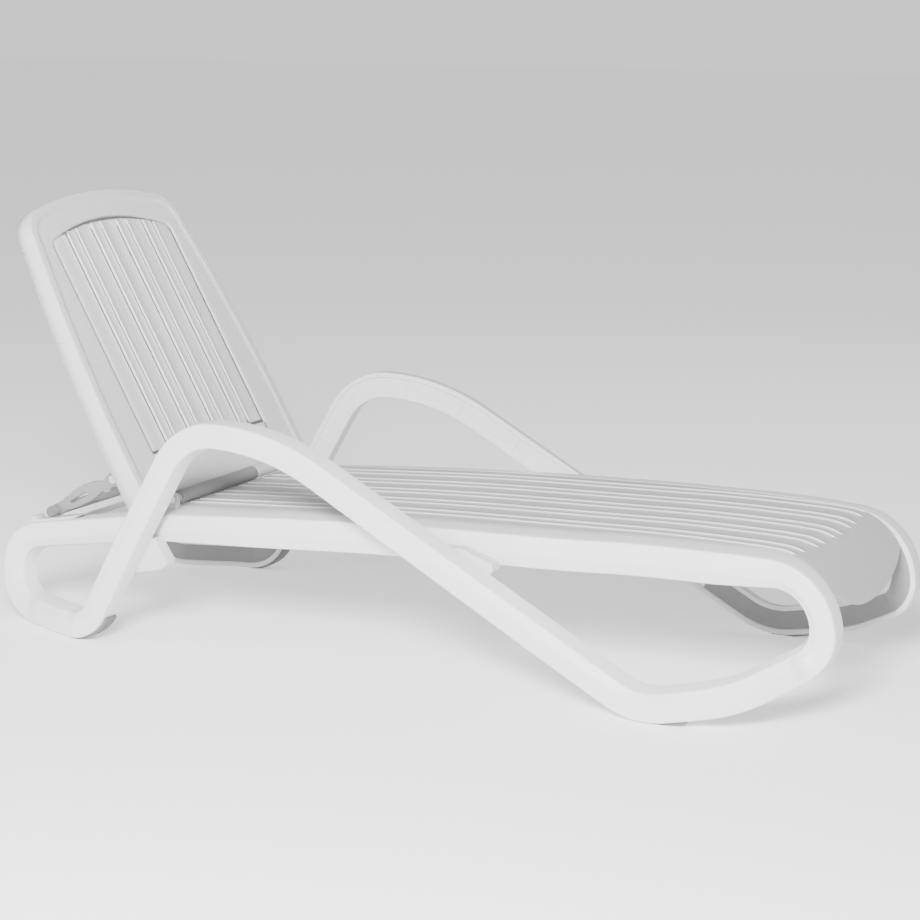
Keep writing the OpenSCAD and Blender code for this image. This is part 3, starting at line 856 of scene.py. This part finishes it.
arm_outline = ring(0.0, 0.015, 60, 300, 20) + [(0.022, -0.0085), (0.036, -0.0095), (0.055, -0.017),
              (0.080, -0.0205), (0.110, -0.0185), (0.140, -0.0140)] + ring(0.172, 0.0125, 240, 470, 18) + [
              (0.150, 0.0105), (0.120, 0.0150), (0.085, 0.0165), (0.058, 0.0140), (0.040, 0.0095),
              (0.031, 0.0175), (0.022, 0.0190), (0.018, 0.0130)]
arm_slot = ring(0.128, 0.0045, -90, 90, 8) + ring(0.082, 0.0050, 90, 270, 8)
arm_eye = ring(0.0, 0.0058, 0, 345, 23)
# The arms and the foot bar take the dark prop resin: painted shade.
for side, word in ((1, "left"), (-1, "right")):
    arm = outline_plate(word + "_prop_arm_shape", [arm_outline, arm_slot, arm_eye], side * 0.232, 0.0062,
                        0.0014, painted_shade_prop_resin)
    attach(arm, "prop")
    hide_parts(word + "_prop_arm")
softened("prop_foot_bar", painted_shade_prop_resin, "prop", 0.0015)


# ---------------------------------------------------------------------------
# Foot pads and the foot bar's end caps. Dark soft rubber, pressed on to the feet
# and into the tube's ends.

pad_rubber = resin("pad_rubber", (0.16, 0.16, 0.165), 0.72, 0.6, 0.0016)
for node in ("left_front_pad", "right_front_pad", "left_rear_pad", "right_rear_pad"):
    softened(node, pad_rubber, "base", 0.001)
softened("foot_bar_caps", pad_rubber, "prop", 0.0008)


# ---------------------------------------------------------------------------
# Screws and pins. Zinc-plated steel, turned heads, driven from the hidden side.

def plated_steel():
    mat = bpy.data.materials.new("plated_steel")
    mat.use_nodes = True
    nt = mat.node_tree
    bsdf = nt.nodes["Principled BSDF"]
    bsdf.inputs["Metallic"].default_value = 1.0
    co = nt.nodes.new("ShaderNodeTexCoord")
    noise = nt.nodes.new("ShaderNodeTexNoise")
    noise.inputs["Scale"].default_value = 420.0
    ramp = nt.nodes.new("ShaderNodeValToRGB")
    ramp.color_ramp.elements[0].color = (0.52, 0.53, 0.55, 1)
    ramp.color_ramp.elements[1].color = (0.74, 0.75, 0.77, 1)
    rough = nt.nodes.new("ShaderNodeMapRange")
    rough.inputs["To Min"].default_value = 0.26
    rough.inputs["To Max"].default_value = 0.46
    nt.links.new(co.outputs["Object"], noise.inputs["Vector"])
    nt.links.new(noise.outputs["Fac"], ramp.inputs["Fac"])
    nt.links.new(ramp.outputs["Color"], bsdf.inputs["Base Color"])
    nt.links.new(noise.outputs["Fac"], rough.inputs["Value"])
    nt.links.new(rough.outputs["Result"], bsdf.inputs["Roughness"])
    return mat


steel = plated_steel()
for node, body in (("hinge_pins", "base"), ("frame_screws", "base"), ("deck_screws", "base"),
                   ("leg_screws", "base"), ("prop_pins", "back"), ("back_screws", "back")):
    softened(node, steel, body, 0.0005)


# ---------------------------------------------------------------------------
# Room: a plain pale floor, a pale surround, soft panels of light and the camera.

floor_mesh = bpy.data.meshes.new("floor")
floor_mesh.from_pydata([(-30, -30, 0), (30, -30, 0), (30, 30, 0), (-30, 30, 0)], [], [(0, 1, 2, 3)])
floor = bpy.data.objects.new("floor", floor_mesh)
bpy.context.scene.collection.objects.link(floor)
floor_mat = bpy.data.materials.new("pale_floor")
floor_mat.use_nodes = True
fn = floor_mat.node_tree.nodes["Principled BSDF"]
fn.inputs["Base Color"].default_value = (0.93, 0.93, 0.93, 1)
fn.inputs["Roughness"].default_value = 0.9
fn.inputs["Specular IOR Level"].default_value = 0.1
fn.inputs["Emission Color"].default_value = (1, 1, 1, 1)
fn.inputs["Emission Strength"].default_value = 0.55
floor_mesh.materials.append(floor_mat)

world = bpy.data.worlds.new("studio")
bpy.context.scene.world = world
world.use_nodes = True
world.node_tree.nodes["Background"].inputs["Color"].default_value = (1, 1, 1, 1)
wn = world.node_tree
way = wn.nodes.new("ShaderNodeTexCoord")
axes = wn.nodes.new("ShaderNodeSeparateXYZ")
fall = wn.nodes.new("ShaderNodeMapRange")
fall.inputs["From Min"].default_value = 0.0
fall.inputs["From Max"].default_value = 0.45
fall.inputs["To Min"].default_value = 1.03
fall.inputs["To Max"].default_value = 0.42
wn.links.new(way.outputs["Generated"], axes.inputs["Vector"])
wn.links.new(axes.outputs["Z"], fall.inputs["Value"])
wn.links.new(fall.outputs["Result"], wn.nodes["Background"].inputs["Strength"])


def soft_panel(name, place, size, power):
    data = bpy.data.lights.new(name, "AREA")
    data.shape = "RECTANGLE"
    data.size, data.size_y = size
    data.energy = power
    lamp = bpy.data.objects.new(name, data)
    lamp.location = place
    aim = Vector((0, 0, 0.3)) - Vector(place)
    lamp.rotation_euler = aim.to_track_quat("-Z", "Y").to_euler()
    bpy.context.scene.collection.objects.link(lamp)


soft_panel("key", (1.5, -4.4, 2.7), (1.6, 1.2), 760)
soft_panel("fill", (-3.4, -2.6, 1.6), (1.6, 1.4), 60)
soft_panel("back", (1.0, 3.6, 2.6), (3.0, 2.0), 20)

cam_data = bpy.data.cameras.new("camera")
cam_data.sensor_width = 36
cam_data.lens = 96.65
cam = bpy.data.objects.new("camera", cam_data)
cam.location = (2.370, -4.562, 1.400)
cam.rotation_euler = (math.radians(78.88), 0, math.radians(27.26))
bpy.context.scene.collection.objects.link(cam)
bpy.context.scene.camera = cam
